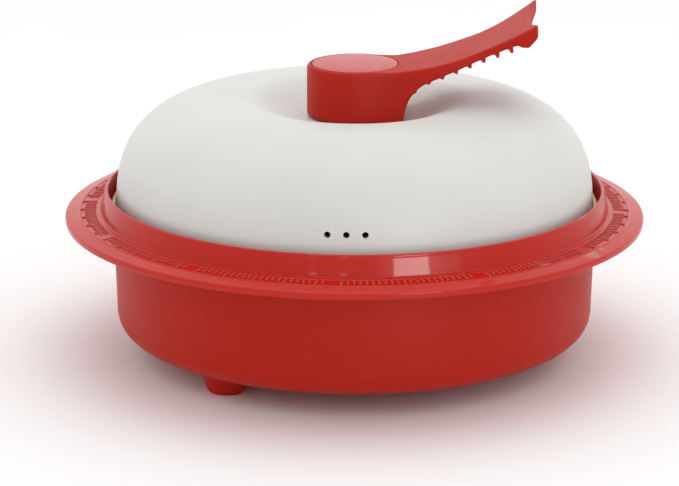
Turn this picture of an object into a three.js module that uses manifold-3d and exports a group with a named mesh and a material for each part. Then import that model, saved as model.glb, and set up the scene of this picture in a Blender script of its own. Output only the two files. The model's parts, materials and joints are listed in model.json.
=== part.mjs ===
// Popcorn maker: a cool-touch red base, a popping pan that drops into it, and a white dome lid
// with a turning handle.
// Millimetres, +Z up. The origin is on the surface the feet stand on, at the centre of the base.
// The handle points along +X, and the steam vents are on the -Y side.

import * as THREE from "three";
import { mergeVertices } from "three/addons/utils/BufferGeometryUtils.js";
import Module from "manifold-3d";

const wasm = await Module();
wasm.setup();

// ---- Driving dimensions -------------------------------------------------------------------

const GAP = 0.3; // clearance between pieces that touch
const EASE = 0.8; // flat across a moulded edge
const FINE_EASE = 0.5; // flat across a thin edge
const OVERRUN = 1; // how far a cutting tool passes the face that it cuts
const SIDES = 36; // sides of the large turned pieces
const SMALL_SIDES = 16; // sides of the small turned pieces

const FLANGE = { radius: 140, edgeTop: 69.2, edgeThick: 3.2, ridgeRadius: 133, ridgeTop: 70.6 };
const BAND = { innerRadius: 124.6, innerTop: 71.1 }; // inner edge of the flange's marked band
const COLLAR = { footRadius: 123, footTop: 73.3, topRadius: 120.9, top: 81.3, wall: 1.7 };
const LEDGE = { top: 70.1, thick: 2, innerRadius: 110 };
const SKIRT = { outerRadius: 114.3, thick: 1.8, bottom: 54 };

const TUB = { topRadius: 116.9, lowRadius: 115.5, bottom: 11.2, corner: 10, wall: 2.2 };
const TUB_STEP = 0.6; // depth of the step under the flange that the tub's edge fits into
const SHELL = { radius: 112, bottom: 16.5, wall: 1.5, corner: 12, top: 67.5 };

const FOOT = { circle: 92, firstAngle: 232, count: 3, topRadius: 12, bottomRadius: 8 };
const TOE = { radius: 9.5, height: 1.8 }; // where a foot's rounded lower edge meets its cone
const FOOT_SCREW = { headRadius: 4, headBottom: 2.4, headTop: 4.7, shank: 1.9, end: 27 };
const FOOT_BOSS = { radius: 6, top: 29 };

const PAN = { rimRadius: 117.9, rimTop: 74.7, rimBottom: 70.4, seat: 72.4, seatOuter: 115.6 };
const PAN_BOWL = { mouth: 104, lip: 107, floorRadius: 66, bottom: 28, wall: 2, shoulder: 66 };
const PAN_BOSS = { radius: 5, bottom: 24.4, bore: 2.3, boreTop: 28.8 };
const PLATE = { radius: 62, thick: 3 };
const PLATE_SCREW = { headRadius: 4.5, faceRadius: 3.2, head: 2.4, slope: 1.4 };
const RETAINER = { radius: 24, thick: 1.5 };

const DOME = { radius: 115.3, waist: 75.1, crestRadius: 56, crest: 125, wall: 2.5, bottom: 72.7 };
const DOME_POWER = { across: 0.73, up: 0.84 }; // exponents that shape the dome's side
const DISH = { floorRadius: 26, floor: 116.2 };
const VENT = { count: 3, radius: 1.5, height: 88.7, middleAngle: -89.3, pitchAngle: 4.3 };
const VENT_TOOL = { depth: 20, sides: 12 };
const SEAL = { outerRadius: 112.1, innerRadius: 110.2, height: 5 };

const SLIP = { outer: 19, inner: 12, thick: 1.2 };

const HUB = { radius: 23.1, bottom: 116.6, top: 141.8, edge: 2, foot: 1.5 };
const POCKET = { radius: 20.9, floor: 139.2 };
const CAP = { radius: 20.6, crown: 0.5, shoulder: 12.4 };
const CHAMBER = { radius: 12, floor: 125 };

// The arm's side view, as X and Z: its top is one curve from root to tip, and its underside
// climbs out of the hub, runs straight, and steps down to a lip at the tip.
const ARM = { rootX: 10, rootTop: 142.6, tipX: 87.5, tipTop: 168.4 };
const RISE = { levelX: 30, levelZ: 144.3, steepX: 58, steepZ: 148.4 };
const UNDER = { rootX: 22.5, rootZ: 118.2, startX: 36, startZ: 137.8, endX: 77.5, endZ: 157.2 };
const CLIMB = { steepX: 24.1, steepZ: 127, easyX: 28.3, easyZ: 134.2 };
const LIP = { startX: 78.6, endX: 82.6, bottom: 156.4, cheekX: 86.8, cheekZ: 160.8, tipZ: 163.5 };
const ARM_REACH = 34; // a little more than half the arm's greatest width
// Half the arm's width in the plan view, as X and Y: a slight waist, then a fishtail.
const ARM_EDGE = [
  [8, 19.4], [22, 20.8], [36, 22.8], [50, 24.2], [61, 23.6], [70, 25.4], [79, 29], [88, 32.2],
];
const RIB = { count: 8, firstX: 29.5, pitch: 6.35, radius: 1.25, drop: 0.7, sides: 8, sag: 0.045 };
const NOTCH = { vertexX: 82.5, radius: 100, bevel: 1, sides: 120 };

const SCREW = { shank: 2.9, headRadius: 5.5, headTop: 132, end: 102.2, point: 0.6, head: 1 };
const SOCKET = { radius: 2.3, depth: 2.2, sides: 6 };
const BUSH = { outer: 4.7, inner: 3.4, flange: 8.5, flangeThick: 1.5, top: 120.2 };
const BACKING = { radius: 22, thick: 1.5 };
const WASHER = { radius: 8, bore: 3.2, thick: 1.1 };
const SPRING = { radius: 5.6, slit: 1 };
const NUT = { radius: 6.5, height: 4.5, sides: 6 };

// ---- Materials ----------------------------------------------------------------------------

const paint = (color, roughness, metalness = 0) =>
  new THREE.MeshStandardMaterial({ color, roughness, metalness });

const RED_GLOSS = () => paint(0xb92f26, 0.25);
const RED_SATIN = () => paint(0xa82a20, 0.4);
const WHITE = () => paint(0xe1e2dd, 0.35);
const CREAM = () => paint(0xd9c3a2, 0.4);
const GREY = () => paint(0x6d6a66, 0.6);
const STEEL = () => paint(0xa9abad, 0.3, 1);
const SILICONE = () => paint(0xd8d2c8, 0.7);
const DARK = () => paint(0x2b2a2a, 0.6);

// ---- Solids -------------------------------------------------------------------------------

// A closed solid from a closed three.js geometry: the seams are merged, and triangles that
// shrink to a line at a pole are dropped.
function solid(geometry) {
  const bare = geometry.clone();
  bare.deleteAttribute("normal");
  bare.deleteAttribute("uv");
  const merged = mergeVertices(bare);
  const index = merged.index.array;
  const kept = [];
  for (let i = 0; i < index.length; i += 3) {
    const [a, b, c] = index.slice(i, i + 3);
    if (a !== b && b !== c && c !== a) kept.push(a, b, c);
  }
  const vertProperties = new Float32Array(merged.attributes.position.array);
  const triVerts = new Uint32Array(kept);
  return new wasm.Manifold(new wasm.Mesh({ numProp: 3, vertProperties, triVerts }));
}

const join = (first, ...others) => others.reduce((sum, other) => sum.add(other), first);
const cut = (body, ...tools) => tools.reduce((rest, tool) => rest.subtract(tool), body);

// A named part from a solid.
function part(name, body, material) {
  const { numProp, vertProperties, triVerts } = body.getMesh();
  const geometry = new THREE.BufferGeometry();
  geometry.setAttribute("position", new THREE.BufferAttribute(vertProperties, numProp));
  geometry.setIndex(new THREE.BufferAttribute(triVerts, 1));
  geometry.computeVertexNormals();
  const mesh = new THREE.Mesh(geometry, material);
  mesh.name = name;
  return mesh;
}

// Cuts a flat across each corner of an outline that names one: [radius, height, flat].
function eased(outline) {
  return outline.flatMap(([radius, height, flat], i) => {
    const here = new THREE.Vector2(radius, height);
    if (!flat) return [here];
    return [outline.at(i - 1), outline[(i + 1) % outline.length]].map(([r, z]) =>
      new THREE.Vector2(r, z).sub(here).setLength(flat).add(here),
    );
  });
}

// Turns an outline about the Z axis. The outline is a list of [radius, height] that runs up
// the outside and down the inside.
function turned(outline, sides = SIDES) {
  const points = eased(outline);
  if (!points[0].equals(points.at(-1)) && points[0].x + points.at(-1).x > 0) {
    points.push(points[0].clone());
  }
  return solid(new THREE.LatheGeometry(points, sides).rotateX(Math.PI / 2));
}

const rod = (radius, bottom, top, sides = SMALL_SIDES) =>
  turned([[0, bottom], [radius, bottom], [radius, top], [0, top]], sides);

const ring = (outer, inner, bottom, top, sides = SMALL_SIDES) =>
  turned([[outer, bottom], [outer, top], [inner, top], [inner, bottom]], sides);

// Points of an arc from one angle to another, in degrees, in an outline's plane.
function arc(centreR, centreZ, radius, from, to, steps) {
  return Array.from({ length: steps + 1 }, (_, i) => {
    const angle = THREE.MathUtils.degToRad(from + ((to - from) * i) / steps);
    return [centreR + radius * Math.cos(angle), centreZ + radius * Math.sin(angle)];
  });
}

// Puts a solid that was made on the Z axis at a radius and an angle around it.
function around(body, radius, degrees) {
  const angle = THREE.MathUtils.degToRad(degrees);
  return body.translate([radius * Math.cos(angle), radius * Math.sin(angle), 0]);
}

const footAngles = Array.from(
  { length: FOOT.count },
  (_, i) => FOOT.firstAngle + (i * 360) / FOOT.count,
);

// ---- Base ---------------------------------------------------------------------------------

// Flange, collar, ledge for the pan and the skirt that plugs into the tub, in one moulding.
function rimRing() {
  const under = FLANGE.edgeTop - FLANGE.edgeThick;
  const stepRadius = TUB.topRadius + GAP;
  const ledgeUnder = LEDGE.top - LEDGE.thick;
  return turned([
    [SKIRT.outerRadius, SKIRT.bottom],
    [SKIRT.outerRadius, under + TUB_STEP],
    [stepRadius, under + TUB_STEP],
    [stepRadius, under],
    [FLANGE.radius, under, EASE],
    [FLANGE.radius, FLANGE.edgeTop, EASE],
    [FLANGE.ridgeRadius, FLANGE.ridgeTop],
    [BAND.innerRadius, BAND.innerTop],
    [COLLAR.footRadius, BAND.innerTop, EASE],
    [COLLAR.footRadius - GAP, COLLAR.footTop],
    [COLLAR.topRadius, COLLAR.top, EASE],
    [COLLAR.topRadius - COLLAR.wall, COLLAR.top, FINE_EASE],
    [COLLAR.footRadius - COLLAR.wall - EASE, LEDGE.top],
    [LEDGE.innerRadius, LEDGE.top],
    [LEDGE.innerRadius, ledgeUnder],
    [SKIRT.outerRadius - SKIRT.thick, ledgeUnder],
    [SKIRT.outerRadius - SKIRT.thick, SKIRT.bottom],
  ]);
}

// The outer wall of the base: an open bowl with a rounded lower corner.
function outerTub() {
  const top = FLANGE.edgeTop - FLANGE.edgeThick + TUB_STEP - GAP;
  const { topRadius, lowRadius, bottom, corner, wall } = TUB;
  const cornerR = lowRadius - corner;
  const body = turned([
    [0, bottom],
    ...arc(cornerR, bottom + corner, corner, -90, 0, 4),
    [topRadius, top],
    [topRadius - wall, top],
    ...arc(cornerR, bottom + corner, corner - wall, 0, -90, 3),
    [0, bottom + wall],
  ]);
  const hole = rod(FOOT_SCREW.shank + GAP, bottom - OVERRUN, bottom + wall + OVERRUN);
  return cut(body, ...footAngles.map((angle) => around(hole, FOOT.circle, angle)));
}

// The heat shield inside the tub: a thin bowl whose bosses take the foot screws.
function heatShield() {
  const { radius, bottom, wall, corner, top } = SHELL;
  const cornerR = radius - corner;
  const body = turned([
    [0, bottom],
    ...arc(cornerR, bottom + corner, corner, -90, 0, 3),
    [radius, top],
    [radius - wall, top],
    ...arc(cornerR, bottom + corner, corner - wall, 0, -90, 3),
    [0, bottom + wall],
  ]);
  const post = rod(FOOT_BOSS.radius, TUB.bottom + TUB.wall + GAP, FOOT_BOSS.top);
  const bore = rod(FOOT_SCREW.shank + GAP, TUB.bottom, FOOT_SCREW.end + OVERRUN);
  const posts = footAngles.map((angle) => around(post, FOOT.circle, angle));
  const bores = footAngles.map((angle) => around(bore, FOOT.circle, angle));
  return cut(join(body, ...posts), ...bores);
}

// A tapered foot with a recess below for its screw's head.
function foot(angle) {
  const top = TUB.bottom - GAP;
  const recessTop = FOOT_SCREW.headTop + GAP;
  const bore = FOOT_SCREW.shank + GAP;
  const recess = FOOT_SCREW.headRadius + GAP;
  const body = turned([
    [FOOT.bottomRadius, 0],
    [TOE.radius, TOE.height, EASE],
    [FOOT.topRadius, top],
    [bore, top],
    [bore, recessTop],
    [recess, recessTop],
    [recess, 0],
  ], SMALL_SIDES);
  return around(body, FOOT.circle, angle);
}

function footScrew(angle) {
  const { headRadius, headBottom, headTop, shank, end } = FOOT_SCREW;
  const body = turned([
    [0, headBottom],
    [headRadius, headBottom],
    [headRadius, headTop],
    [shank, headTop],
    [shank, end - shank],
    [0, end],
  ], SMALL_SIDES);
  return around(body, FOOT.circle, angle);
}

// ---- Pan ----------------------------------------------------------------------------------

// Popping pan: a rolled rim that rests on the ledge, a seat for the lid and a round bowl.
function poppingPan() {
  const { rimRadius, rimTop, rimBottom, seat, seatOuter } = PAN;
  const { mouth, lip, floorRadius, bottom, wall, shoulder } = PAN_BOWL;
  const bend = mouth - floorRadius;
  const squash = (shoulder - bottom) / bend;
  const bowl = (offset, from, to, steps) =>
    arc(floorRadius, 0, bend - offset, from, to, steps)
      .map(([r, z]) => [r, shoulder + z * squash]);
  const body = turned([
    [0, bottom],
    ...bowl(0, -90, 0, 5),
    [lip, rimBottom],
    [rimRadius, rimBottom, EASE],
    [rimRadius, rimTop, EASE],
    [seatOuter, rimTop, FINE_EASE],
    [seatOuter, seat],
    [lip, seat],
    ...bowl(wall, 0, -90, 5),
    [0, bottom + wall],
  ]);
  const boss = rod(PAN_BOSS.radius, PAN_BOSS.bottom, bottom + wall / 2);
  const bore = rod(PAN_BOSS.bore, PAN_BOSS.bottom - OVERRUN, PAN_BOSS.boreTop);
  return cut(join(body, boss), bore);
}

const plateTop = PAN_BOWL.bottom - GAP;
const plateBottom = plateTop - PLATE.thick;
const retainerTop = PAN_BOSS.bottom - GAP;
const retainerBottom = retainerTop - RETAINER.thick;

const heatingPlate = () =>
  ring(PLATE.radius, PAN_BOSS.radius + GAP, plateBottom, plateTop, SIDES);

const plateRetainer = () =>
  ring(RETAINER.radius, PAN_BOSS.bore, retainerBottom, retainerTop);

function plateScrew() {
  const { headRadius, faceRadius, head, slope } = PLATE_SCREW;
  const headTop = retainerBottom - GAP;
  const face = headTop - head;
  const shank = PAN_BOSS.bore - GAP;
  return turned([
    [0, face],
    [faceRadius, face],
    [headRadius, face + slope],
    [headRadius, headTop],
    [shank, headTop],
    [shank, PAN_BOSS.boreTop - EASE],
    [0, PAN_BOSS.boreTop - FINE_EASE],
  ], SMALL_SIDES);
}

// ---- Lid ----------------------------------------------------------------------------------

// The side of the dome from its waist up to its crest: near a superellipse, set in by an offset.
function domeSide(offset, steps) {
  const { radius, waist, crestRadius, crest } = DOME;
  return Array.from({ length: steps + 1 }, (_, i) => {
    const angle = (Math.PI / 2) * (i / steps);
    const across = Math.max(0, Math.cos(angle)) ** DOME_POWER.across;
    const up = Math.sin(angle) ** DOME_POWER.up;
    return [
      crestRadius + (radius - offset - crestRadius) * across,
      waist + (crest - offset - waist) * up,
    ];
  });
}

// The dish in the middle of the dome, from its floor out to the crest, lowered by an offset.
function dishSide(offset, steps) {
  const width = DOME.crestRadius - DISH.floorRadius;
  const depth = DOME.crest - DISH.floor;
  return Array.from({ length: steps }, (_, i) => {
    const t = i / steps;
    const rise = (1 - Math.cos(Math.PI * t)) / 2;
    return [DISH.floorRadius + width * t, DISH.floor - offset + depth * rise];
  });
}

function ventTool(index) {
  const angle = VENT.middleAngle + (index - (VENT.count - 1) / 2) * VENT.pitchAngle;
  const { depth, sides } = VENT_TOOL;
  const tool = new THREE.CylinderGeometry(VENT.radius, VENT.radius, depth, sides);
  tool.rotateZ(Math.PI / 2);
  tool.translate(DOME.radius, 0, 0);
  tool.rotateZ(THREE.MathUtils.degToRad(angle));
  tool.translate(0, 0, VENT.height);
  return solid(tool);
}

function lidDome() {
  const { radius, wall, bottom } = DOME;
  const bore = BUSH.outer + GAP;
  const body = turned([
    [radius - GAP, bottom],
    ...domeSide(0, 9),
    ...dishSide(0, 4).reverse(),
    [bore, DISH.floor],
    [bore, DISH.floor - wall],
    ...dishSide(wall, 4),
    ...domeSide(wall, 7).reverse(),
    [radius - wall, bottom],
  ]);
  return cut(body, ...Array.from({ length: VENT.count }, (_, i) => ventTool(i)));
}

const lidSeal = () =>
  ring(SEAL.outerRadius, SEAL.innerRadius, DOME.bottom, DOME.bottom + SEAL.height, SIDES);

const backingTop = DISH.floor - DOME.wall - GAP;
const bushFlangeTop = backingTop - BACKING.thick - GAP;
const bushBottom = bushFlangeTop - BUSH.flangeThick;

const backingPlate = () =>
  ring(BACKING.radius, BUSH.outer + GAP, backingTop - BACKING.thick, backingTop, SIDES);

const pivotBush = () =>
  turned([
    [BUSH.flange, bushBottom],
    [BUSH.flange, bushFlangeTop],
    [BUSH.outer, bushFlangeTop],
    [BUSH.outer, BUSH.top],
    [BUSH.inner, BUSH.top],
    [BUSH.inner, bushBottom],
  ], SMALL_SIDES);

const slipBottom = DISH.floor + GAP;
const slipTop = slipBottom + SLIP.thick;
const slipWasher = () => ring(SLIP.outer, SLIP.inner, slipBottom, slipTop, SIDES);

// ---- Handle -------------------------------------------------------------------------------

// Side view of the arm, as X against Z.
function armSide() {
  const side = new THREE.Path();
  side.moveTo(ARM.rootX, UNDER.rootZ);
  side.lineTo(UNDER.rootX, UNDER.rootZ);
  side.bezierCurveTo(
    CLIMB.steepX, CLIMB.steepZ, CLIMB.easyX, CLIMB.easyZ, UNDER.startX, UNDER.startZ,
  );
  side.lineTo(UNDER.endX, UNDER.endZ);
  side.lineTo(LIP.startX, LIP.bottom);
  side.lineTo(LIP.endX, LIP.bottom);
  side.lineTo(LIP.cheekX, LIP.cheekZ);
  side.lineTo(ARM.tipX, LIP.tipZ);
  side.lineTo(ARM.tipX, ARM.tipTop);
  side.bezierCurveTo(
    RISE.steepX, RISE.steepZ, RISE.levelX, RISE.levelZ, ARM.rootX, ARM.rootTop,
  );
  side.lineTo(ARM.rootX, UNDER.rootZ);
  return new THREE.Shape(side.getPoints(7));
}

// Plan view of the arm.
function armPlan() {
  const knots = ARM_EDGE.map(([x, y]) => new THREE.Vector2(x, y));
  const edge = new THREE.SplineCurve(knots).getPoints(11);
  const mirrored = edge.map((point) => new THREE.Vector2(point.x, -point.y)).reverse();
  return new THREE.Shape([...edge, ...mirrored]);
}

// A cross rib on the arm's underside. Before the straight run the underside sags below its line.
function rib(index) {
  const x = RIB.firstX + index * RIB.pitch;
  const slope = (UNDER.endZ - UNDER.startZ) / (UNDER.endX - UNDER.startX);
  const line = UNDER.startZ + (x - UNDER.startX) * slope;
  const sag = Math.max(0, UNDER.startX - x) ** 2 * RIB.sag;
  const bar = new THREE.CylinderGeometry(RIB.radius, RIB.radius, 2 * ARM_REACH, RIB.sides);
  return solid(bar.translate(x, 0, line - sag - RIB.drop));
}

// The side view and the plan view, each drawn out through the other, share the arm's body.
function arm() {
  const side = new THREE.ExtrudeGeometry(armSide(), { bevelEnabled: false, depth: 2 * ARM_REACH });
  side.rotateX(Math.PI / 2).translate(0, ARM_REACH, 0);
  const height = ARM.tipTop - HUB.bottom + 2 * OVERRUN;
  const plan = new THREE.ExtrudeGeometry(armPlan(), { bevelEnabled: false, depth: height });
  plan.translate(0, 0, HUB.bottom - OVERRUN);
  const ribs = Array.from({ length: RIB.count }, (_, i) => rib(i));
  const notch = turned([
    [0, HUB.top],
    [NOTCH.radius, HUB.top],
    [NOTCH.radius + NOTCH.bevel, ARM.tipTop + OVERRUN],
    [0, ARM.tipTop + OVERRUN],
  ], NOTCH.sides).translate([NOTCH.vertexX + NOTCH.radius, 0, 0]);
  return cut(join(solid(side), ...ribs).intersect(solid(plan)), notch);
}

function handle() {
  const { radius, bottom, top, edge, foot: footEase } = HUB;
  const start = bottom - OVERRUN;
  const hub = turned([
    [0, bottom],
    [radius, bottom, footEase],
    ...arc(radius - edge, top - edge, edge, 0, 90, 3),
    [0, top],
  ]);
  return cut(
    join(hub, arm()),
    rod(POCKET.radius, POCKET.floor, ARM.tipTop, SIDES),
    rod(CHAMBER.radius, CHAMBER.floor, top),
    rod(SCREW.shank + GAP, start, top),
    rod(BUSH.outer + 2 * GAP, start, BUSH.top + 1),
    ring(SLIP.outer + GAP, SLIP.inner - GAP, start, slipTop + GAP, SIDES),
  );
}

function hubCap() {
  const bottom = POCKET.floor + GAP;
  return turned([
    [0, bottom],
    [CAP.radius, bottom],
    [CAP.radius, HUB.top, FINE_EASE],
    [CAP.shoulder, HUB.top + (CAP.crown * 2) / 3],
    [0, HUB.top + CAP.crown],
  ]);
}

const screwWasherBottom = CHAMBER.floor + GAP;
const springBottom = screwWasherBottom + WASHER.thick + GAP;
const headBottom = springBottom + WASHER.thick + GAP;
const nutWasherTop = bushBottom - GAP;
const nutTop = nutWasherTop - WASHER.thick - GAP;

const washer = (bottom, radius) => ring(radius, WASHER.bore, bottom, bottom + WASHER.thick);

// A split lock washer: a flat ring with a slit.
function springWasher() {
  const { radius, slit } = SPRING;
  const tool = new THREE.BoxGeometry(radius, slit, radius).translate(radius, 0, springBottom);
  return cut(washer(springBottom, radius), solid(tool));
}

function pivotScrew() {
  const { shank, headRadius, headTop, end, point, head } = SCREW;
  const body = turned([
    [0, end],
    [shank, end, point],
    [shank, headBottom],
    [headRadius, headBottom],
    [headRadius, headTop, head],
    [0, headTop],
  ], SMALL_SIDES);
  const { radius, depth, sides } = SOCKET;
  return cut(body, rod(radius, headTop - depth, headTop + OVERRUN, sides));
}

function lockNut() {
  const { radius, height, sides } = NUT;
  const bottom = nutTop - height;
  const bore = rod(SCREW.shank + GAP, bottom - OVERRUN, nutTop + OVERRUN);
  return cut(rod(radius, bottom, nutTop, sides), bore);
}

// ---- Assembly -----------------------------------------------------------------------------

const base = new THREE.Group();
base.add(part("rim_ring", rimRing(), RED_GLOSS()));
base.add(part("outer_tub", outerTub(), RED_SATIN()));
base.add(part("heat_shield", heatShield(), GREY()));
footAngles.forEach((angle, i) => {
  base.add(part(`foot_${i + 1}`, foot(angle), RED_SATIN()));
  base.add(part(`foot_screw_${i + 1}`, footScrew(angle), STEEL()));
});

const pan = new THREE.Group();
pan.add(part("popping_pan", poppingPan(), CREAM()));
pan.add(part("heating_plate", heatingPlate(), DARK()));
pan.add(part("plate_retainer", plateRetainer(), STEEL()));
pan.add(part("plate_screw", plateScrew(), STEEL()));

const lid = new THREE.Group();
lid.add(part("lid_dome", lidDome(), WHITE()));
lid.add(part("lid_seal", lidSeal(), SILICONE()));
lid.add(part("backing_plate", backingPlate(), STEEL()));
lid.add(part("pivot_bush", pivotBush(), DARK()));
lid.add(part("slip_washer", slipWasher(), SILICONE()));

const handleGroup = new THREE.Group();
handleGroup.add(part("handle", handle(), RED_SATIN()));
handleGroup.add(part("hub_cap", hubCap(), RED_GLOSS()));
handleGroup.add(part("pivot_screw", pivotScrew(), STEEL()));
handleGroup.add(part("screw_washer", washer(screwWasherBottom, WASHER.radius), STEEL()));
handleGroup.add(part("spring_washer", springWasher(), STEEL()));
handleGroup.add(part("nut_washer", washer(nutWasherTop - WASHER.thick, WASHER.radius), STEEL()));
handleGroup.add(part("lock_nut", lockNut(), STEEL()));

const popcornMaker = new THREE.Group();
popcornMaker.name = "popcorn_maker";
popcornMaker.add(base, pan, lid, handleGroup);

export default popcornMaker;
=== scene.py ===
"""Popcorn maker: fine surfaces, materials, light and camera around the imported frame.

Lengths are in millimetres in the outlines and turn into metres where a mesh is made.
An outline is a list of (radius, height) or (radius, height, fillet) in the plane of a turned
piece, and goes round the section once.
"""

import json
from math import atan2, cos, pi, radians, sin, tan

import bmesh
import bpy
from mathutils import Matrix, Vector

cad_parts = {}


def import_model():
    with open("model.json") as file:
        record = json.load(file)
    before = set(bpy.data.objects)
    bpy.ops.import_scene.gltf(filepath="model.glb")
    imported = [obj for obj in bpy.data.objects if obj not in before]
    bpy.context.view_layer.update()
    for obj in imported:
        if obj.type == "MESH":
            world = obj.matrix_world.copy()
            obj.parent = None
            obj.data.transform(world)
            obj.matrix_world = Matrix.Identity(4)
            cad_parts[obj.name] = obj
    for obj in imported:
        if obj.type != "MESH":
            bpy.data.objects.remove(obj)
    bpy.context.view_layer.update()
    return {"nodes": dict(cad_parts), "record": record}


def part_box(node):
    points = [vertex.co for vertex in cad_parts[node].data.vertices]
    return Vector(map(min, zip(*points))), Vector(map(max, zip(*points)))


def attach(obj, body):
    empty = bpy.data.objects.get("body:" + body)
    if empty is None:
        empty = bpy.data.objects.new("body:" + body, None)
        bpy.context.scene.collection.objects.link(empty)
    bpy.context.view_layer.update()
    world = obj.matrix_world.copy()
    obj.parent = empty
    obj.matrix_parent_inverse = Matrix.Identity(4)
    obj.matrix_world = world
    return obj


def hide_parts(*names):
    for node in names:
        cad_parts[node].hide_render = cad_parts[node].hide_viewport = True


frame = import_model()

MM = 0.001
FINE = 256  # sides of a large turned piece
SMALL = 64  # sides of a small turned piece


def low(node):
    """Height of a node's lowest point."""
    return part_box(node)[0].z / MM


def top(node):
    """Height of a node's highest point."""
    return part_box(node)[1].z / MM


def reach(node):
    """Radius of a turned node that stands on the main axis."""
    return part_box(node)[1].x / MM


# ---- Outlines -----------------------------------------------------------------------------


def arc(centre, radius, start, end, steps):
    """Points of an arc between two angles, in degrees."""
    angles = [radians(start + (end - start) * i / steps) for i in range(steps + 1)]
    return [(centre[0] + radius * cos(a), centre[1] + radius * sin(a)) for a in angles]


def corner(before, point, after, radius, steps=5):
    """The arc that rounds one corner of an outline."""
    here = Vector(point)
    into = Vector(before) - here
    away = Vector(after) - here
    half = into.angle(away) / 2
    limit = 0.49 * min(into.length, away.length)
    run = min(radius / tan(half), limit)
    radius = run * tan(half)
    centre = here + (into.normalized() + away.normalized()).normalized() * (radius / sin(half))
    first = here + into.normalized() * run - centre
    last = here + away.normalized() * run - centre
    sweep = first.angle_signed(last)
    return [tuple(centre + Matrix.Rotation(-sweep * i / steps, 2) @ first)
            for i in range(steps + 1)]


def rounded(outline):
    """An outline with an arc at every point that names a fillet."""
    points = []
    count = len(outline)
    for i, point in enumerate(outline):
        if len(point) == 2:
            points.append(tuple(point))
            continue
        before, after = outline[i - 1][:2], outline[(i + 1) % count][:2]
        points += corner(before, point[:2], after, point[2])
    return points


def bezier(p0, p1, p2, p3, steps):
    """Points of a cubic curve, without its first point."""
    points = []
    for i in range(1, steps + 1):
        t = i / steps
        weights = ((1 - t) ** 3, 3 * t * (1 - t) ** 2, 3 * t * t * (1 - t), t ** 3)
        points.append(tuple(sum(w * p[k] for w, p in zip(weights, (p0, p1, p2, p3)))
                            for k in range(2)))
    return points


# ---- Meshes -------------------------------------------------------------------------------


def finish_mesh(name, bm, sharp_angle=38):
    """A smooth-shaded object from a bmesh, with its sharper edges kept crisp."""
    bmesh.ops.recalc_face_normals(bm, faces=bm.faces)
    mesh = bpy.data.meshes.new(name)
    bm.to_mesh(mesh)
    bm.free()
    mesh.shade_smooth()
    mesh.set_sharp_from_angle(angle=radians(sharp_angle))
    piece = bpy.data.objects.new(name, mesh)
    bpy.context.scene.collection.objects.link(piece)
    return piece


def loft(bm, rings):
    """Joins rings of points with faces, one to the next, and closes both ends."""
    for one, two in zip(rings, rings[1:]):
        for i in range(len(one)):
            j = (i + 1) % len(one)
            bm.faces.new((one[i], one[j], two[j], two[i]))
    bm.faces.new(rings[0])
    bm.faces.new(rings[-1])


def add_turned(bm, outline, segments, centre=(0, 0)):
    """Adds a closed turned body to a bmesh."""
    rings = []
    for radius, height in rounded(outline):
        if radius < 1e-6:
            rings.append([bm.verts.new((centre[0] * MM, centre[1] * MM, height * MM))])
            continue
        ring = []
        for i in range(segments):
            a = 2 * pi * i / segments
            ring.append(bm.verts.new(((centre[0] + radius * cos(a)) * MM,
                                      (centre[1] + radius * sin(a)) * MM, height * MM)))
        rings.append(ring)
    pairs = list(zip(rings, rings[1:]))
    if len(rings[0]) > 1 or len(rings[-1]) > 1:
        pairs.append((rings[-1], rings[0]))
    for one, two in pairs:
        for i in range(segments):
            j = (i + 1) % segments
            corners = [one[i % len(one)], one[j % len(one)], two[j % len(two)], two[i % len(two)]]
            face = list(dict.fromkeys(corners))
            if len(face) > 2:
                bm.faces.new(face)


def turned(name, outline, segments=FINE, centre=(0, 0)):
    """A piece turned round an upright axis."""
    bm = bmesh.new()
    add_turned(bm, outline, segments, centre)
    return finish_mesh(name, bm)


def prism(name, outline, start, end):
    """A flat outline drawn upwards from one height to another."""
    bm = bmesh.new()
    loft(bm, [[bm.verts.new(Vector((x, y, z)) * MM) for x, y in outline] for z in (start, end)])
    return finish_mesh(name, bm)


def apply_modifiers(piece):
    """Makes the mesh that the modifiers give the piece's own mesh."""
    graph = bpy.context.evaluated_depsgraph_get()
    mesh = bpy.data.meshes.new_from_object(piece.evaluated_get(graph))
    piece.modifiers.clear()
    piece.data = mesh


def boolean(piece, other, operation):
    """Joins or cuts a piece by another, which is then removed."""
    modifier = piece.modifiers.new(operation.lower(), "BOOLEAN")
    modifier.operation = operation
    modifier.object = other
    modifier.solver = "EXACT"
    apply_modifiers(piece)
    bpy.data.objects.remove(other)


def bevel(piece, width, angle=30):
    """Rounds the piece's edges that are sharper than an angle, in degrees."""
    modifier = piece.modifiers.new("bevel", "BEVEL")
    modifier.width = width * MM
    modifier.segments = 2
    modifier.limit_method = "ANGLE"
    modifier.angle_limit = radians(angle)
    apply_modifiers(piece)
    piece.data.shade_smooth()
    piece.data.set_sharp_from_angle(angle=radians(40))


# ---- Materials ----------------------------------------------------------------------------


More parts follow.
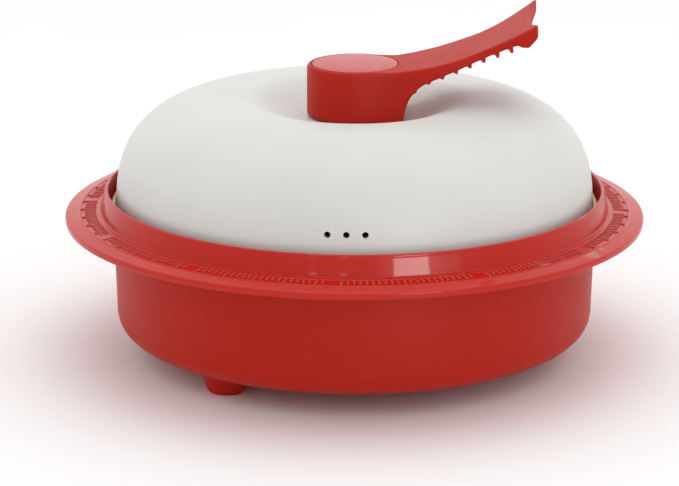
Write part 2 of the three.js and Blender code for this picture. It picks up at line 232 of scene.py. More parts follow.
class Graph:
    """A material's node tree, with short calls for the nodes that the materials share."""

    def __init__(self, name):
        self.material = bpy.data.materials.new(name)
        self.material.use_nodes = True
        self.tree = self.material.node_tree
        self.shader = self.tree.nodes["Principled BSDF"]
        self.place = self.node("ShaderNodeTexCoord").outputs["Object"]

    def node(self, kind, **settings):
        node = self.tree.nodes.new(kind)
        for key, value in settings.items():
            setattr(node, key, value)
        return node

    def link(self, source, target):
        self.tree.links.new(source, target)

    def set(self, **values):
        for key, value in values.items():
            self.shader.inputs[key.replace("_", " ")].default_value = value

    def stretched(self, scale):
        mapping = self.node("ShaderNodeMapping")
        mapping.inputs["Scale"].default_value = scale
        self.link(self.place, mapping.inputs["Vector"])
        return mapping.outputs["Vector"]

    def noise(self, scale, detail=3, vector=None):
        noise = self.node("ShaderNodeTexNoise")
        noise.inputs["Scale"].default_value = scale
        noise.inputs["Detail"].default_value = detail
        self.link(vector or self.place, noise.inputs["Vector"])
        return noise.outputs["Fac"]

    def ramp(self, source, start, end, low_value=0.0, high_value=1.0):
        ramp = self.node("ShaderNodeMapRange")
        ramp.inputs["From Min"].default_value = start
        ramp.inputs["From Max"].default_value = end
        ramp.inputs["To Min"].default_value = low_value
        ramp.inputs["To Max"].default_value = high_value
        self.link(source, ramp.inputs["Value"])
        return ramp.outputs["Result"]

    def mix(self, factor, one, two):
        mix = self.node("ShaderNodeMix", data_type="RGBA")
        self.link(factor, mix.inputs["Factor"])
        for value, socket in ((one, mix.inputs[6]), (two, mix.inputs[7])):
            if isinstance(value, tuple):
                socket.default_value = (*value, 1)
            else:
                self.link(value, socket)
        return mix.outputs[2]

    def bump(self, height, distance):
        bump = self.node("ShaderNodeBump")
        bump.inputs["Strength"].default_value = 1.0
        bump.inputs["Distance"].default_value = distance * MM
        self.link(height, bump.inputs["Height"])
        self.link(bump.outputs["Normal"], self.shader.inputs["Normal"])

    def edges(self):
        """Near 1 on sharp outer edges, where the painted sheen goes, and near 0 elsewhere."""
        return self.ramp(self.node("ShaderNodeNewGeometry").outputs["Pointiness"], 0.52, 0.6)


def scaled(color, factor):
    """A lighter or darker shade of a colour."""
    return tuple(min(1.0, c * factor) for c in color)


def plastic(name, color, roughness, grain, grain_depth, specular=0.5, coat=0.0):
    """Moulded plastic: slow colour drift, a painted sheen that makes sharp outer edges paler, uneven
    gloss and a fine grain.
    """
    g = Graph(name)
    drift = g.ramp(g.noise(22, 4), 0.3, 0.7)
    body = g.mix(drift, scaled(color, 0.975), scaled(color, 1.02))
    # Painted sheen: the colour turned pinkish-grey on sharp outer edges, standing in for the
    # backdrop's reflection there.
    pale = tuple(c * 0.8 + 0.2 * max(color) for c in color)
    body_with_edge_sheen = g.mix(g.edges(), body, pale)
    g.link(body_with_edge_sheen, g.shader.inputs["Base Color"])
    gloss = g.ramp(g.noise(70, 5), 0.25, 0.75, roughness - 0.04, roughness + 0.05)
    g.link(gloss, g.shader.inputs["Roughness"])
    g.bump(g.noise(grain, 2), grain_depth)
    g.set(Specular_IOR_Level=specular, Coat_Weight=coat, Coat_Roughness=0.05)
    return g.material


def coated_metal(name, color, fleck):
    """A ceramic coating: cream, with small brown flecks and a slight orange peel."""
    g = Graph(name)
    drift = g.ramp(g.noise(30, 3), 0.3, 0.7)
    body = g.mix(drift, scaled(color, 0.94), scaled(color, 1.04))
    flecks = g.ramp(g.noise(900, 1), 0.68, 0.72)
    g.link(g.mix(flecks, body, fleck), g.shader.inputs["Base Color"])
    g.link(g.ramp(g.noise(120, 3), 0.3, 0.7, 0.26, 0.38), g.shader.inputs["Roughness"])
    g.bump(g.noise(260, 2), 0.03)
    g.set(Specular_IOR_Level=0.5, Coat_Weight=0.15, Coat_Roughness=0.15)
    return g.material


def metal(name, color, roughness):
    """Steel, turned or pressed, with fine drawn lines."""
    g = Graph(name)
    lines = g.noise(500, 4, g.stretched((1, 1, 14)))
    tone = g.mix(g.ramp(lines, 0.3, 0.7), scaled(color, 0.82), scaled(color, 1.08))
    g.link(tone, g.shader.inputs["Base Color"])
    g.link(g.ramp(lines, 0.3, 0.7, roughness - 0.06, roughness + 0.1),
           g.shader.inputs["Roughness"])
    g.bump(lines, 0.01)
    g.set(Metallic=1.0)
    return g.material


def sintered(name, color):
    """The heating disc: a dark pressed compound with paler grains."""
    g = Graph(name)
    grains = g.ramp(g.noise(1400, 2), 0.55, 0.75)
    g.link(g.mix(grains, color, scaled(color, 4)), g.shader.inputs["Base Color"])
    g.link(g.ramp(grains, 0, 1, 0.7, 0.5), g.shader.inputs["Roughness"])
    g.bump(grains, 0.06)
    return g.material


def silicone(name, color):
    """Soft rubber with a dusty surface."""
    g = Graph(name)
    drift = g.ramp(g.noise(60, 3), 0.3, 0.7)
    g.link(g.mix(drift, scaled(color, 0.95), color), g.shader.inputs["Base Color"])
    g.link(g.ramp(g.noise(300, 2), 0.3, 0.7, 0.5, 0.62), g.shader.inputs["Roughness"])
    g.bump(g.noise(700, 2), 0.02)
    g.set(Subsurface_Weight=0.1, Sheen_Weight=0.1)
    return g.material


MATERIALS = {
    "red_gloss": plastic("red_gloss", (0.53, 0.011, 0.002), 0.3, 1100, 0.002, 0.15, 0.3),
    "red_body": plastic("red_body", (0.46, 0.012, 0.003), 0.47, 1500, 0.008, 0.17),
    "shield_grey": plastic("shield_grey", (0.15, 0.145, 0.135), 0.55, 900, 0.02),
    "steel": metal("steel", (0.62, 0.62, 0.61), 0.3),
    "cream_coating": coated_metal("cream_coating", (0.84, 0.68, 0.46), (0.30, 0.19, 0.10)),
    "dark_plate": sintered("dark_plate", (0.035, 0.033, 0.032)),
    "white_dome": plastic("white_dome", (0.695, 0.70, 0.67), 0.42, 1300, 0.004, 0.3),
    "silicone": silicone("silicone", (0.72, 0.69, 0.62)),
    "bush_plastic": plastic("bush_plastic", (0.04, 0.04, 0.042), 0.4, 900, 0.01),
}
SLOT_OF = {entry["node"]: entry["material_slot"] for entry in frame["record"]["subparts"]}
BODY_OF = {node: body for body, nodes in frame["record"]["behaviour"]["bodies"].items()
           for node in nodes}


def dress(piece, slot, body):
    """Gives the piece its material and the body it rides on."""
    piece.data.materials.clear()
    piece.data.materials.append(MATERIALS[slot])
    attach(piece, body)


def stand_for(piece, node):
    """The piece takes the place of a CAD node: its body, its slot and its material."""
    dress(piece, SLOT_OF[node], BODY_OF[node])
    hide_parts(node)


# ---- Base ---------------------------------------------------------------------------------

FLANGE_R = reach("rim_ring")
COLLAR_TOP = top("rim_ring")
FLANGE_Z = COLLAR_TOP - 12.2  # the flange's outer edge
BAND_OUTER = FLANGE_R - 7  # outer edge of the band of raised marks
COLLAR_FOOT = FLANGE_R - 17
COLLAR_R = FLANGE_R - 19.1
LEDGE_R, LEDGE_Z = FLANGE_R - 30, COLLAR_TOP - 11.2  # the ledge that carries the pan
SKIRT_R = FLANGE_R - 25.7  # the skirt plugs into the tub
TUB_LOW = low("outer_tub")
TUB_R = reach("outer_tub")


def rim_ring():
    """Flange, collar, ledge and skirt in one moulding."""
    skirt_low = low("rim_ring")
    under = FLANGE_Z - 3.1
    outline = [
        (SKIRT_R, skirt_low, 0.6),
        (SKIRT_R, under + 0.6, 0.3),
        (TUB_R + 0.3, under + 0.6),
        (TUB_R + 0.3, under),
        (FLANGE_R - 1.2, under, 0.3),
        (FLANGE_R - 0.2, under + 0.35, 0.4),
        (FLANGE_R, under + 1.2, 0.4),
        (FLANGE_R, FLANGE_Z + 0.2, 0.8),
        (BAND_OUTER + 0.9, FLANGE_Z + 1.5, 0.4),
        (BAND_OUTER + 0.4, FLANGE_Z + 1.95, 0.3),
        (BAND_OUTER - 0.3, FLANGE_Z + 1.95, 0.3),
        (BAND_OUTER - 0.7, FLANGE_Z + 1.6, 0.3),
        (COLLAR_FOOT + 2.6, FLANGE_Z + 1.9, 0.3),
        (COLLAR_FOOT + 2.2, FLANGE_Z + 2.3, 0.3),
        (COLLAR_FOOT + 0.2, FLANGE_Z + 2.3, 0.7),
        (COLLAR_FOOT - 0.3, FLANGE_Z + 4.6, 0.6),
        (COLLAR_R + 0.1, COLLAR_TOP - 1.6, 0.4),
        (COLLAR_R - 0.05, COLLAR_TOP, 0.7),
        (COLLAR_R - 1.7, COLLAR_TOP, 0.55),
        (COLLAR_R - 1.7, COLLAR_TOP - 2, 0.5),
        (COLLAR_FOOT - 2.5, LEDGE_Z, 0.8),
        (LEDGE_R, LEDGE_Z, 0.4),
        (LEDGE_R, LEDGE_Z - 2, 0.4),
        (SKIRT_R - 1.8, LEDGE_Z - 2, 0.5),
        (SKIRT_R - 1.8, skirt_low, 0.6),
    ]
    return turned("rim_ring_fine", outline)


MARKS = {"groups": 12, "per_group": 22, "pitch": 1.25, "long": 6.8, "short": 5, "width": 0.9,
         "rise": 0.5}


def rim_marks():
    """Raised bars on the flange, in groups like the divisions of a dial: every fifth is long."""
    bm = bmesh.new()
    inner = COLLAR_FOOT + 2.6
    for group in range(MARKS["groups"]):
        for i in range(MARKS["per_group"]):
            angle = radians(360 / MARKS["groups"] * group + i * MARKS["pitch"])
            length = MARKS["short"] if i % 5 else MARKS["long"]
            middle = Vector((inner + length / 2, 0, FLANGE_Z + 1.75)) * MM
            size = (length * MM, MARKS["width"] * MM, 2 * MARKS["rise"] * MM, 1)
            matrix = (Matrix.Rotation(angle, 4, "Z") @ Matrix.Translation(middle)
                      @ Matrix.Diagonal(size))
            bmesh.ops.create_cube(bm, size=1, matrix=matrix)
    piece = finish_mesh("rim_marks", bm)
    bevel(piece, 0.2)
    return piece


def outer_tub():
    """The base's outer wall, with a shallow recess under its floor."""
    wall = 2.2
    rim = top("outer_tub")
    foot_r = TUB_R - 1.4
    outline = [
        (0, TUB_LOW + 0.6),
        (58, TUB_LOW + 0.6, 0.3),
        (58.6, TUB_LOW, 0.3),
        (foot_r, TUB_LOW, 10),
        (TUB_R, rim, 0.5),
        (TUB_R - wall, rim, 0.5),
        (foot_r - wall, TUB_LOW + wall, 8),
        (0, TUB_LOW + wall),
    ]
    return turned("outer_tub_fine", outline)


def foot_places():
    """Centres of the feet, from their nodes' boxes."""
    places = {}
    for node in sorted(frame["nodes"]):
        if node.startswith("foot_") and node.count("_") == 1:
            lo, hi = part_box(node)
            places[node] = ((lo.x + hi.x) / 2 / MM, (lo.y + hi.y) / 2 / MM)
    return places


FEET = foot_places()


def heat_shield():
    """The inner bowl, with a closed boss over each foot screw."""
    wall = 1.5
    radius, bottom, rim = reach("heat_shield"), TUB_LOW + 5.3, top("heat_shield")
    bm = bmesh.new()
    add_turned(bm, [
        (0, bottom), (radius, bottom, 12), (radius, rim, 0.5), (radius - wall, rim, 0.5),
        (radius - wall, bottom + wall, 10.5), (70, bottom + wall, 1), (69, bottom + wall + 0.5, 1),
        (0, bottom + wall + 0.5),
    ], FINE)
    for centre in FEET.values():
        add_turned(bm, [
            (2.2, TUB_LOW + 2.8), (6, TUB_LOW + 2.8, 0.4), (6, 27, 0.2), (5.4, 29, 0.8),
            (0, 29.2), (0, 27.8), (2.2, 27.8),
        ], SMALL, centre)
    return finish_mesh("heat_shield_fine", bm)


def foot(node):
    """A short tapered foot with a recess for its screw's head."""
    under = TUB_LOW - 0.3
    outline = [
        (8.2, 0, 1.2), (9.5, 1.8, 1.5), (12, under, 0.4), (2.2, under, 0.2), (2.2, 5, 0.2),
        (4.3, 5, 0.2), (4.3, 0, 0.4),
    ]
    return turned(f"{node}_fine", outline, SMALL, FEET[node])


def cross_recess(centre, height, size):
    """A cross-shaped cutter for a screw's head."""
    arm, half = size / 2, size * 0.13
    outline = []
    for turn in range(4):
        for x, y in ((arm, -half), (arm, half), (half, half)):
            for _ in range(turn):
                x, y = -y, x
            outline.append((centre[0] + x, centre[1] + y))
    return prism("cross", outline, height - size / 4, height + size / 4)


def foot_screw(node):
    """A screw that comes up through the foot into the shield's boss."""
    centre = FEET[node.replace("foot_screw", "foot")]
    lo, hi = low(node), top(node)
    head, shank = 4, 1.9
    outline = [(0, lo), (head * 0.6, lo + 0.15), (head, lo + 1.1, 0.3), (head, lo + 2.3, 0.2),
               (shank, lo + 2.3)]
    pitch = 1.4
    z = lo + 6
    while z < hi - 3:
        outline += [(shank - 0.25, z), (shank + 0.12, z + pitch / 2)]
        z += pitch
    outline += [(shank - 0.2, hi - 2.6), (0, hi)]
    piece = turned(f"{node}_fine", outline, 32, centre)
    boolean(piece, cross_recess(centre, lo, head * 1.1), "DIFFERENCE")
    return piece


# ---- Pan ----------------------------------------------------------------------------------

PAN_R = reach("popping_pan")
PAN_TOP = top("popping_pan")
BOSS_LOW = low("popping_pan")
PAN_LOW = BOSS_LOW + 3.6  # underside of its floor


def popping_pan():
    """A rounded bowl with a wide rim, raised rings in its floor and a boss below."""
    mouth, wall, floor_r, shoulder = PAN_R - 13.9, 2, 66, PAN_TOP - 8.7
    seat, under = PAN_TOP - 2.3, PAN_TOP - 4.3
    outer = arc((floor_r, shoulder), shoulder - PAN_LOW, -90, 0, 24)
    inner = arc((floor_r, shoulder), shoulder - PAN_LOW - wall, 0, -90, 24)
    rings = []
    for radius in (20, 36, 52):
        floor = PAN_LOW + wall
        rings = [(radius + 1.2, floor, 0.5), (radius + 0.7, floor + 0.35, 0.4),
                 (radius - 0.7, floor + 0.35, 0.4), (radius - 1.2, floor, 0.5)] + rings
    outline = [
        (0, BOSS_LOW + 4.4), (2.3, BOSS_LOW + 4.4), (2.3, BOSS_LOW, 0.3), (5, BOSS_LOW, 0.4),
        (5, PAN_LOW, 0.5),
        *outer,
        (mouth + 1.5, under - 1, 2),
        (mouth + 4, under, 1.5),
        (PAN_R - 0.4, under, 0.9),
        (PAN_R, PAN_TOP - 2, 1.0),
        (PAN_R - 0.3, PAN_TOP, 1.0),
        (PAN_R - 2.2, PAN_TOP, 0.7),
        (PAN_R - 2.4, seat, 0.5),
        (mouth + 2.2, seat, 1.5),
        *inner,
        *rings,
        (0, PAN_LOW + wall),
    ]
    return turned("popping_pan_fine", outline)


def heating_plate():
    """A disc with round grooves in its underside."""
    lo, hi, radius = low("heating_plate"), top("heating_plate"), reach("heating_plate")
    outline = [(5.4, lo, 0.3)]
    for groove in (16, 28, 40, 52):
        outline += [(groove - 1.2, lo, 0.3), (groove, lo + 0.7, 0.4), (groove + 1.2, lo, 0.3)]
    outline += [(radius, lo, 0.7), (radius, hi, 0.7), (5.4, hi, 0.3)]
    return turned("heating_plate_fine", outline, FINE)


def plate_retainer():
    """A thin disc with a raised ring, which holds the heating disc on."""
    lo, hi, radius = low("plate_retainer"), top("plate_retainer"), reach("plate_retainer")
    outline = [(2.3, lo, 0.2), (9, lo, 0.8), (11, lo + 0.35, 0.8), (18, lo + 0.35, 0.8),
               (20, lo, 0.8), (radius, lo, 0.5), (radius, hi, 0.5), (2.3, hi, 0.2)]
    return turned("plate_retainer_fine", outline, 128)


def plate_screw():
    """A short screw up into the pan's boss."""
    lo, hi = low("plate_screw"), top("plate_screw")
    outline = [(0, lo), (2.9, lo + 0.2, 0.8), (4.4, lo + 1.3, 0.6), (4.5, lo + 2.4, 0.2),
               (2, lo + 2.4)]
    outline += [(1.75 + 0.25 * (i % 2), lo + 3.4 + 0.35 * i) for i in range(12)]
    outline += [(1.7, hi - 0.4), (0, hi)]
    piece = turned("plate_screw_fine", outline, 48)
    boolean(piece, cross_recess((0, 0), lo, 4.6), "DIFFERENCE")
    return piece


# ---- Lid ----------------------------------------------------------------------------------

DOME_R, DOME_LOW = reach("lid_dome"), low("lid_dome")
CREST_R, CREST_Z = 56, top("lid_dome")
WAIST_Z = CREST_Z - 49.9  # where the dome is widest
DISH_R, DISH_Z = 26, low("handle") - 0.4  # the dish's flat floor
DOME_WALL = 2.5
DOME_ACROSS, DOME_UP = 0.73, 0.84  # exponents that shape the dome's side
VENT = {"count": 3, "radius": 1.5, "height": CREST_Z - 36.3, "middle": -89.3, "pitch": 4.3}


def dome_side(offset, steps):
    """The dome's side from its waist to its crest, set in by an offset."""
    points = []
    for i in range(steps + 1):
        angle = pi / 2 * i / steps
        across = max(0.0, cos(angle)) ** DOME_ACROSS
        up = sin(angle) ** DOME_UP
        points.append((CREST_R + (DOME_R - offset - CREST_R) * across,
                       WAIST_Z + (CREST_Z - offset - WAIST_Z) * up))
    return points


def dish_side(offset, steps):
    """The dish from the crest in to its floor, lowered by an offset."""
    points = []
    for i in range(1, steps + 1):
        t = 1 - i / steps
        rise = (1 - cos(pi * t)) / 2
        points.append((DISH_R + (CREST_R - DISH_R) * t,
                       DISH_Z - offset + (CREST_Z - DISH_Z) * rise))
    return points


def vent_tool(angle):
    """A cutter for one vent hole, along a radius."""
    bm = bmesh.new()
    matrix = (Matrix.Rotation(radians(angle), 4, "Z")
              @ Matrix.Translation(Vector((DOME_R, 0, VENT["height"])) * MM)
              @ Matrix.Rotation(pi / 2, 4, "Y"))
    bmesh.ops.create_cone(bm, cap_ends=True, segments=32, radius1=VENT["radius"] * MM,
                          radius2=VENT["radius"] * MM, depth=20 * MM, matrix=matrix)
    return finish_mesh("vent_tool", bm)


def lid_dome():
    """A thin shell: side, crest and dish, with a bore for the pivot and a few vents."""
    bore = 5
    outer = dome_side(0, 64) + dish_side(0, 28)
    inner = dome_side(DOME_WALL, 48) + dish_side(DOME_WALL, 20)
    outline = [
        (DOME_R - 0.3, DOME_LOW, 0.6),
        *outer,
        (bore, DISH_Z, 0.3),
        (bore, DISH_Z - DOME_WALL, 0.3),
        *reversed(inner),
        (DOME_R - DOME_WALL - 0.2, DOME_LOW, 0.6),
    ]
    piece = turned("lid_dome_fine", outline)
    for i in range(VENT["count"]):
        angle = VENT["middle"] + (i - (VENT["count"] - 1) / 2) * VENT["pitch"]
        boolean(piece, vent_tool(angle), "DIFFERENCE")
    piece.data.set_sharp_from_angle(angle=radians(38))
    return piece


def lid_seal():
    """A soft ring with a groove round its outside."""
    lo, hi, outer = low("lid_seal"), top("lid_seal"), reach("lid_seal")
    inner = outer - 1.9
    outline = [
        (outer - 1.2, lo, 0.4), (outer, lo + 0.7, 0.5), (outer - 0.5, lo + 1.6, 0.3),
        (outer, lo + 2.5, 0.5), (outer, hi, 0.5), (inner + 0.3, hi, 0.4), (inner + 0.3, lo + 2, 0.4),
        (inner, lo + 0.2, 0.3), (inner + 0.4, lo, 0.2),
    ]
    return turned("lid_seal_fine", outline)


def disc_with_bore(node, bore, fillet=0.3, segments=SMALL):
    """A plain washer that fills its node's box, with eased edges."""
    lo, hi, radius = low(node), top(node), reach(node)
    outline = [(bore, lo, fillet), (radius, lo, fillet), (radius, hi, fillet), (bore, hi, fillet)]
    return turned(f"{node}_fine", outline, segments)


def backing_plate():
    """A thin disc with a raised ring, under the dish."""
    lo, hi, radius = low("backing_plate"), top("backing_plate"), reach("backing_plate")
    outline = [(5, lo, 0.2), (9.5, lo, 0.6), (11, lo + 0.4, 0.6), (17, lo + 0.4, 0.6),
               (18.5, lo, 0.6), (radius, lo, 0.5), (radius, hi, 0.4), (5, hi, 0.2)]
    return turned("backing_plate_fine", outline, 128)


def pivot_bush():
    """A flanged sleeve."""
    lo, hi, flange = low("pivot_bush"), top("pivot_bush"), reach("pivot_bush")
    outline = [(3.4, lo, 0.3), (flange, lo, 0.4), (flange, lo + 1.5, 0.3), (4.7, lo + 1.5, 0.2),
               (4.7, hi, 0.4), (3.4, hi, 0.3)]
    return turned("pivot_bush_fine", outline, SMALL)


# ---- Handle -------------------------------------------------------------------------------

HUB_LOW = low("handle")
CAP_TOP = top("hub_cap")
HUB_TOP = CAP_TOP - 0.5
HUB_R = -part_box("handle")[0].x / MM
BUSH_TOP = top("pivot_bush")
POCKET_R, POCKET_Z = 20.9, HUB_TOP - 2.6  # the cap's pocket
CHAMBER_R, CHAMBER_Z = 12, HUB_TOP - 16.8  # room for the pivot screw's head

# The arm in the side view: distance from the axis and height.
ARM_TIP_X, ARM_TIP_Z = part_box("handle")[1].x / MM, HUB_TOP + 26.6
ARM_TOP = [(19, HUB_TOP - 0.1), (35, HUB_TOP + 2.2), (59, HUB_TOP + 7), (ARM_TIP_X, ARM_TIP_Z)]
ARM_CLIMB = [(23.8, HUB_LOW + 0.1), (24.3, HUB_TOP - 14.8), (28.3, HUB_TOP - 8),
             (36, HUB_TOP - 4.3)]
UNDER_END = (77.5, HUB_TOP + 15.4)
LIP_Z = HUB_TOP + 14.6
# Its half width: distance from the axis and half the width there.
ARM_WIDTHS = [(6, 22.3), (10, 21.3), (14, 20.9), (18, 20.7), (22, 20.9), (36, 22.8), (50, 24.2),
              (61, 23.6), (70, 25.4), (79, 29), (88, 32.2)]


def arm_half_width(x):
    """Half the arm's width at a distance from the axis, smooth through the listed widths."""
    knots = ARM_WIDTHS
    i = max(k for k in range(len(knots) - 1) if knots[k][0] <= x or k == 0)
    before, after = knots[max(i - 1, 0)], knots[min(i + 2, len(knots) - 1)]
    (x0, y0), (x1, y1) = knots[i], knots[i + 1]
    t = min(1, max(0, (x - x0) / (x1 - x0)))
    m0 = (y1 - before[1]) / (x1 - before[0]) * (x1 - x0)
    m1 = (after[1] - y0) / (after[0] - x0) * (x1 - x0)
    return ((2 * t ** 3 - 3 * t ** 2 + 1) * y0 + (t ** 3 - 2 * t ** 2 + t) * m0
            + (3 * t ** 2 - 2 * t ** 3) * y1 + (t ** 3 - t ** 2) * m1)


def height_on(line, x):
    """Height of a side-view line at a distance from the axis."""
    for (x0, z0), (x1, z1) in zip(line, line[1:]):
        if x0 <= x <= x1:
            return z0 + (z1 - z0) * (x - x0) / (x1 - x0)
    return line[0][1] if x < line[0][0] else line[-1][1]


def arm_under():
    """The arm's lower line in the side view, from inside the hub to the lip at its tip."""
    corner_x, corner_z = ARM_CLIMB[0]
    root = [(x, corner_z) for x in range(ARM_WIDTHS[0][0], int(corner_x) + 1)]
    climb = bezier(*ARM_CLIMB, 24)
    (x0, z0), (x1, z1) = ARM_CLIMB[-1], UNDER_END
    steps = 40
    run = [(x0 + (x1 - x0) * i / steps, z0 + (z1 - z0) * i / steps)
           for i in range(1, steps + 1)]
    lip = [(78.4, LIP_Z + 0.3), (79, LIP_Z), (82.4, LIP_Z), (83, LIP_Z + 0.4),
           (ARM_TIP_X - 0.7, LIP_Z + 4.4), (ARM_TIP_X, LIP_Z + 5.8)]
    return root + [ARM_CLIMB[0]] + climb + run + lip


def add_arm(bm):
    """Adds the arm as one lofted skin, with a section at each point of its lower line."""
    upper = [ARM_TOP[0], *bezier(*ARM_TOP, 200)]
    rings = []
    for x, z in arm_under():
        half, high = arm_half_width(x), height_on(upper, x)
        outline = [(-half, z, 0.7), (half, z, 0.7), (half, high, 1.2), (-half, high, 1.2)]
        rings.append([bm.verts.new(Vector((x, u, v)) * MM) for u, v in rounded(outline)])
    loft(bm, rings)


RIB = {"count": 8, "first": 29.5, "pitch": 6.35, "width": 1.8, "least": 0.7, "growth": 0.27}


def add_rib(bm, index, under):
    """Adds one cross rib under the arm, square to it. The ribs grow taller towards the tip."""
    x = RIB["first"] + index * RIB["pitch"]
    slope = atan2(height_on(under, x + 1) - height_on(under, x - 1), 2)
    half, depth = RIB["width"] / 2, RIB["least"] + RIB["growth"] * index
    outline = [(-half, 1.2), (-half, -depth, half), (half, -depth, half), (half, 1.2)]
    turn = Matrix.Rotation(slope, 2)
    points = [turn @ Vector(p) + Vector((x, height_on(under, x))) for p in rounded(outline)]
    width = arm_half_width(x) - 0.6
    loft(bm, [[bm.verts.new(Vector((u, side * width, v)) * MM) for u, v in points]
              for side in (-1, 1)])


def hub_cutter():
    """The cap's pocket, the chamber for the screw's head, the bores and the washer's groove."""
    below, above = HUB_LOW - 1, ARM_TIP_Z
    groove = top("slip_washer") + 0.3
    bm = bmesh.new()
    add_turned(bm, [
        (0, below), (5.3, below), (5.3, BUSH_TOP + 1), (3.2, BUSH_TOP + 1),
        (3.2, CHAMBER_Z), (CHAMBER_R, CHAMBER_Z), (CHAMBER_R, POCKET_Z), (POCKET_R, POCKET_Z),
        (POCKET_R, HUB_TOP - 0.3), (POCKET_R + 0.5, HUB_TOP + 1), (POCKET_R + 0.5, above),
        (0, above),
    ], FINE)
    add_turned(bm, [(11.7, below), (19.3, below), (19.3, groove), (11.7, groove)], FINE)
    return finish_mesh("hub_cutter", bm)


NOTCH = {"low_x": 83.5, "low_r": 125, "top_x": 81, "top_r": 84, "depth": 8}


def notch_cutter():
    """Scoops the arm's end: a wide arc at the bottom and a tighter, deeper one at the top."""
    sides = 720
    bm = bmesh.new()
    rings = []
    for step in (-0.6, 1.25):
        height = ARM_TIP_Z - NOTCH["depth"] * (1 - step)
        radius = NOTCH["low_r"] + (NOTCH["top_r"] - NOTCH["low_r"]) * step
        edge = NOTCH["low_x"] + (NOTCH["top_x"] - NOTCH["low_x"]) * step
        rings.append([bm.verts.new(Vector((edge + radius + radius * cos(2 * pi * i / sides),
                                           radius * sin(2 * pi * i / sides), height)) * MM)
                      for i in range(sides)])
    loft(bm, rings)
    return finish_mesh("notch_cutter", bm)


def soften(piece, voxel, rounds):
    """Rebuilds overlapping shells as one even skin and eases its edges."""
    remesh = piece.modifiers.new("remesh", "REMESH")
    remesh.mode = "VOXEL"
    remesh.voxel_size = voxel * MM
    smooth = piece.modifiers.new("smooth", "SMOOTH")
    smooth.factor = 0.5
    smooth.iterations = rounds
    apply_modifiers(piece)
    piece.data.shade_smooth()


def handle():
    """Hub and arm melt into one body, then the ribs, pocket, bores and notch are made in it."""
    bm = bmesh.new()
    hub = [(0, HUB_LOW), (HUB_R, HUB_LOW, 1.5), (HUB_R, HUB_TOP, 1.6), (0, HUB_TOP)]
    add_turned(bm, hub, FINE)
    add_arm(bm)
    piece = finish_mesh("handle_fine", bm)
    soften(piece, 0.5, 16)
    bm = bmesh.new()
    bm.from_mesh(piece.data)
    under = arm_under()
    for index in range(RIB["count"]):
        add_rib(bm, index, under)
    bm.to_mesh(piece.data)
    bm.free()
    soften(piece, 0.4, 1)
    boolean(piece, hub_cutter(), "DIFFERENCE")
    boolean(piece, notch_cutter(), "DIFFERENCE")
    soften(piece, 0.38, 3)
    return piece


def hub_cap():
    """A slightly domed disc that fills the hub's pocket."""
    lo, radius = low("hub_cap"), reach("hub_cap")
    crown = bezier((radius - 0.9, HUB_TOP + 0.02), (radius * 0.7, CAP_TOP - 0.06),
                   (radius * 0.35, CAP_TOP), (0, CAP_TOP), 14)
    outline = [(0, lo), (radius, lo, 0.3), (radius, HUB_TOP, 0.6), (radius - 0.9, HUB_TOP + 0.02),
               *crown]
    return turned("hub_cap_fine", outline)


def pivot_screw():
    """A screw with a round head and a hexagonal socket, threaded at its lower end."""
    lo, hi, head = low("pivot_screw"), top("pivot_screw"), reach("pivot_screw")
    shank, head_low = 2.9, hi - 3.9
    outline = [(0, lo), (shank - 0.6, lo, 0.2), (shank, lo + 1)]
    z = lo + 1.4
    while z < lo + 12:
        outline += [(shank - 0.35, z), (shank, z + 0.5)]
        z += 1
    outline += [(shank, head_low, 0.2), (head, head_low, 0.3), (head, hi, 1.0), (0, hi)]
    piece = turned("pivot_screw_fine", outline, SMALL)
    hexagon = [(2.3 * cos(pi / 3 * i), 2.3 * sin(pi / 3 * i)) for i in range(6)]
    boolean(piece, prism("socket", hexagon, hi - 2.2, hi + 1), "DIFFERENCE")
    return piece


def spring_washer():
    """A split ring, sprung slightly apart at the split."""
    lo, hi = low("spring_washer"), top("spring_washer")
    outer, bore, gap = reach("spring_washer") - 0.15, 3.2, 9
    thick = (hi - lo) * 0.75
    bm = bmesh.new()
    rings = []
    steps = 72
    for i in range(steps + 1):
        angle = radians(gap + (360 - 2 * gap) * i / steps)
        lift = (hi - lo) * 0.25 * i / steps
        rings.append([
            bm.verts.new(Vector((r * cos(angle), r * sin(angle), lo + lift + z * thick)) * MM)
            for r, z in ((bore, 0), (outer, 0), (outer, 1), (bore, 1))])
    loft(bm, rings)
    piece = finish_mesh("spring_washer_fine", bm)
    bevel(piece, 0.12, 50)
    return piece


def lock_nut():
    """A hexagonal nut on a round collar."""
    lo, hi = low("lock_nut"), top("lock_nut")
    radius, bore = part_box("lock_nut")[1].y / MM, 3.2
    collar, collar_r = 1.2, 4.9
    hexagon = [(radius * sin(pi / 3 * i), radius * cos(pi / 3 * i)) for i in range(6)]
    piece = prism("lock_nut_fine", hexagon, lo + collar, hi)
    bevel(piece, 0.35)
    ring = [(0, lo), (collar_r, lo, 0.5), (collar_r, lo + collar + 1, 0.1), (0, lo + collar + 1)]
    boolean(piece, turned("nut_collar", ring, SMALL), "UNION")
    hole = [(0, lo - 1), (bore, lo - 1), (bore, hi + 1), (0, hi + 1)]
    boolean(piece, turned("nut_bore", hole, SMALL), "DIFFERENCE")
    piece.data.set_sharp_from_angle(angle=radians(38))
    return piece


# ---- The pieces ---------------------------------------------------------------------------

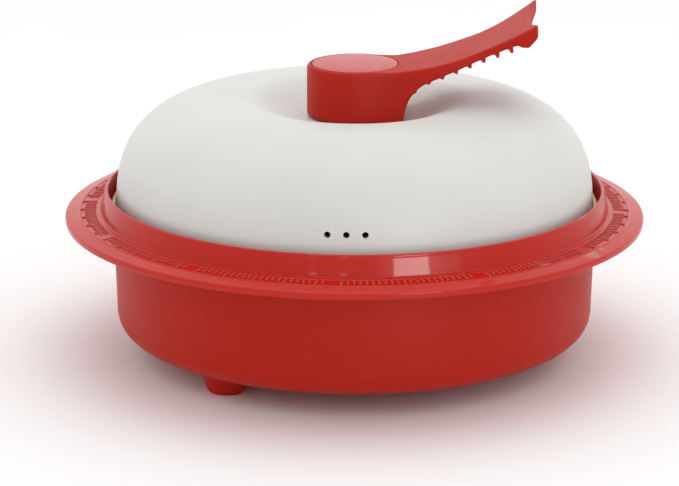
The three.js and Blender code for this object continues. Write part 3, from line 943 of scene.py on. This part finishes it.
stand_for(rim_ring(), "rim_ring")
dress(rim_marks(), "red_gloss", "base")
stand_for(outer_tub(), "outer_tub")
stand_for(heat_shield(), "heat_shield")
for foot_node in FEET:
    stand_for(foot(foot_node), foot_node)
    screw_node = foot_node.replace("foot", "foot_screw")
    stand_for(foot_screw(screw_node), screw_node)
for node, build in (
    ("popping_pan", popping_pan), ("heating_plate", heating_plate),
    ("plate_retainer", plate_retainer), ("plate_screw", plate_screw), ("lid_dome", lid_dome),
    ("lid_seal", lid_seal), ("backing_plate", backing_plate), ("pivot_bush", pivot_bush),
    ("handle", handle), ("hub_cap", hub_cap), ("pivot_screw", pivot_screw),
    ("spring_washer", spring_washer), ("lock_nut", lock_nut),
):
    stand_for(build(), node)
stand_for(disc_with_bore("slip_washer", 12, 0.2, 128), "slip_washer")
stand_for(disc_with_bore("screw_washer", 3.2), "screw_washer")
stand_for(disc_with_bore("nut_washer", 3.2), "nut_washer")


# ---- Stage, light and camera --------------------------------------------------------------


def floor():
    """A pale matt floor, wide enough to be the backdrop too."""
    bm = bmesh.new()
    bmesh.ops.create_grid(bm, x_segments=1, y_segments=1, size=6)
    piece = finish_mesh("floor", bm)
    g = Graph("floor")
    tone = g.mix(g.ramp(g.noise(3, 2), 0.3, 0.7), (0.95, 0.95, 0.95), (0.97, 0.97, 0.97))
    g.link(tone, g.shader.inputs["Base Color"])
    g.set(Roughness=0.7, Specular_IOR_Level=0.2)
    piece.data.materials.append(g.material)


def softbox(name, place, target, size, power):
    """An area light that faces a target and can't be seen itself."""
    light = bpy.data.lights.new(name, "AREA")
    light.shape = "RECTANGLE"
    light.size, light.size_y = size
    light.energy = power
    lamp = bpy.data.objects.new(name, light)
    lamp.location = place
    aim = Vector(target) - Vector(place)
    lamp.rotation_euler = aim.to_track_quat("-Z", "Y").to_euler()
    lamp.visible_camera = False
    bpy.context.scene.collection.objects.link(lamp)
    return lamp


WINDOW_DISTANCE = 2.5


def window(turn, rise, spread, radiance):
    """A bright pane in front, seen only in the glossy surfaces. Its angles are in degrees: round
    from the front, up from the floor, and across and up its face."""
    a, e = radians(turn), radians(rise)
    place = Vector((sin(a) * cos(e), -cos(a) * cos(e), sin(e))) * WINDOW_DISTANCE
    size = [2 * WINDOW_DISTANCE * tan(radians(angle) / 2) for angle in spread]
    lamp = softbox(f"window_{turn}", place, (0, 0, 0.07), size, radiance * pi * size[0] * size[1])
    lamp.visible_diffuse = False


WORLD_RAMP = {"From Min": -0.8, "From Max": 0.7, "To Min": 0.75, "To Max": 1.06}


def world():
    """A pale room: bright behind the object and dimmer on the viewer's side."""
    scene_world = bpy.data.worlds.new("studio")
    scene_world.use_nodes = True
    bpy.context.scene.world = scene_world
    tree = scene_world.node_tree
    place = tree.nodes.new("ShaderNodeTexCoord")
    split = tree.nodes.new("ShaderNodeSeparateXYZ")
    ramp = tree.nodes.new("ShaderNodeMapRange")
    for key, value in WORLD_RAMP.items():
        ramp.inputs[key].default_value = value
    background = tree.nodes["Background"]
    background.inputs["Color"].default_value = (1, 1, 1, 1)
    tree.links.new(place.outputs["Generated"], split.inputs[0])
    tree.links.new(split.outputs["Y"], ramp.inputs["Value"])
    tree.links.new(ramp.outputs["Result"], background.inputs["Strength"])


# Lengths in metres or, for the lens, millimetres; angles in degrees.
CAMERA = {
    "distance": 1.4, "elevation": 16.27, "yaw": 2.5, "aim_height": 0.05186, "lens": 152.0,
    "roll": 0.22, "shift_x": -0.0218,
}


def camera():
    """The viewpoint: in front of the vents, a little above the lid."""
    data = bpy.data.cameras.new("camera")
    data.lens = CAMERA["lens"]
    data.sensor_width = 36
    data.shift_x = CAMERA["shift_x"]
    data.clip_end = 30
    piece = bpy.data.objects.new("camera", data)
    yaw, elevation = radians(CAMERA["yaw"]), radians(CAMERA["elevation"])
    back = Vector((sin(yaw) * cos(elevation), -cos(yaw) * cos(elevation), sin(elevation)))
    aim = Vector((0, 0, CAMERA["aim_height"]))
    piece.location = aim + back * CAMERA["distance"]
    turn = back.to_track_quat("Z", "Y").to_matrix().to_4x4()
    piece.matrix_world = (Matrix.Translation(piece.location) @ turn
                          @ Matrix.Rotation(radians(CAMERA["roll"]), 4, "Z"))
    bpy.context.scene.collection.objects.link(piece)
    bpy.context.scene.camera = piece


MIDDLE = (0, 0, 0.09)  # the softboxes aim here, in metres

floor()
world()
softbox("overhead", (0.1, 0, 1.6), MIDDLE, (1.4, 1.2), 5)
softbox("front_left", (-1.1, -1.3, 0.9), MIDDLE, (0.7, 0.7), 0.3)
softbox("front_right", (1.2, -1.5, 0.7), MIDDLE, (0.7, 0.7), 1.6)
window(27, 9, (15, 13), 14)
window(-2, 8, (2.5, 13), 4)
window(-15, 8, (3, 13), 3.5)
camera()
bpy.context.scene.view_settings.view_transform = "Standard"
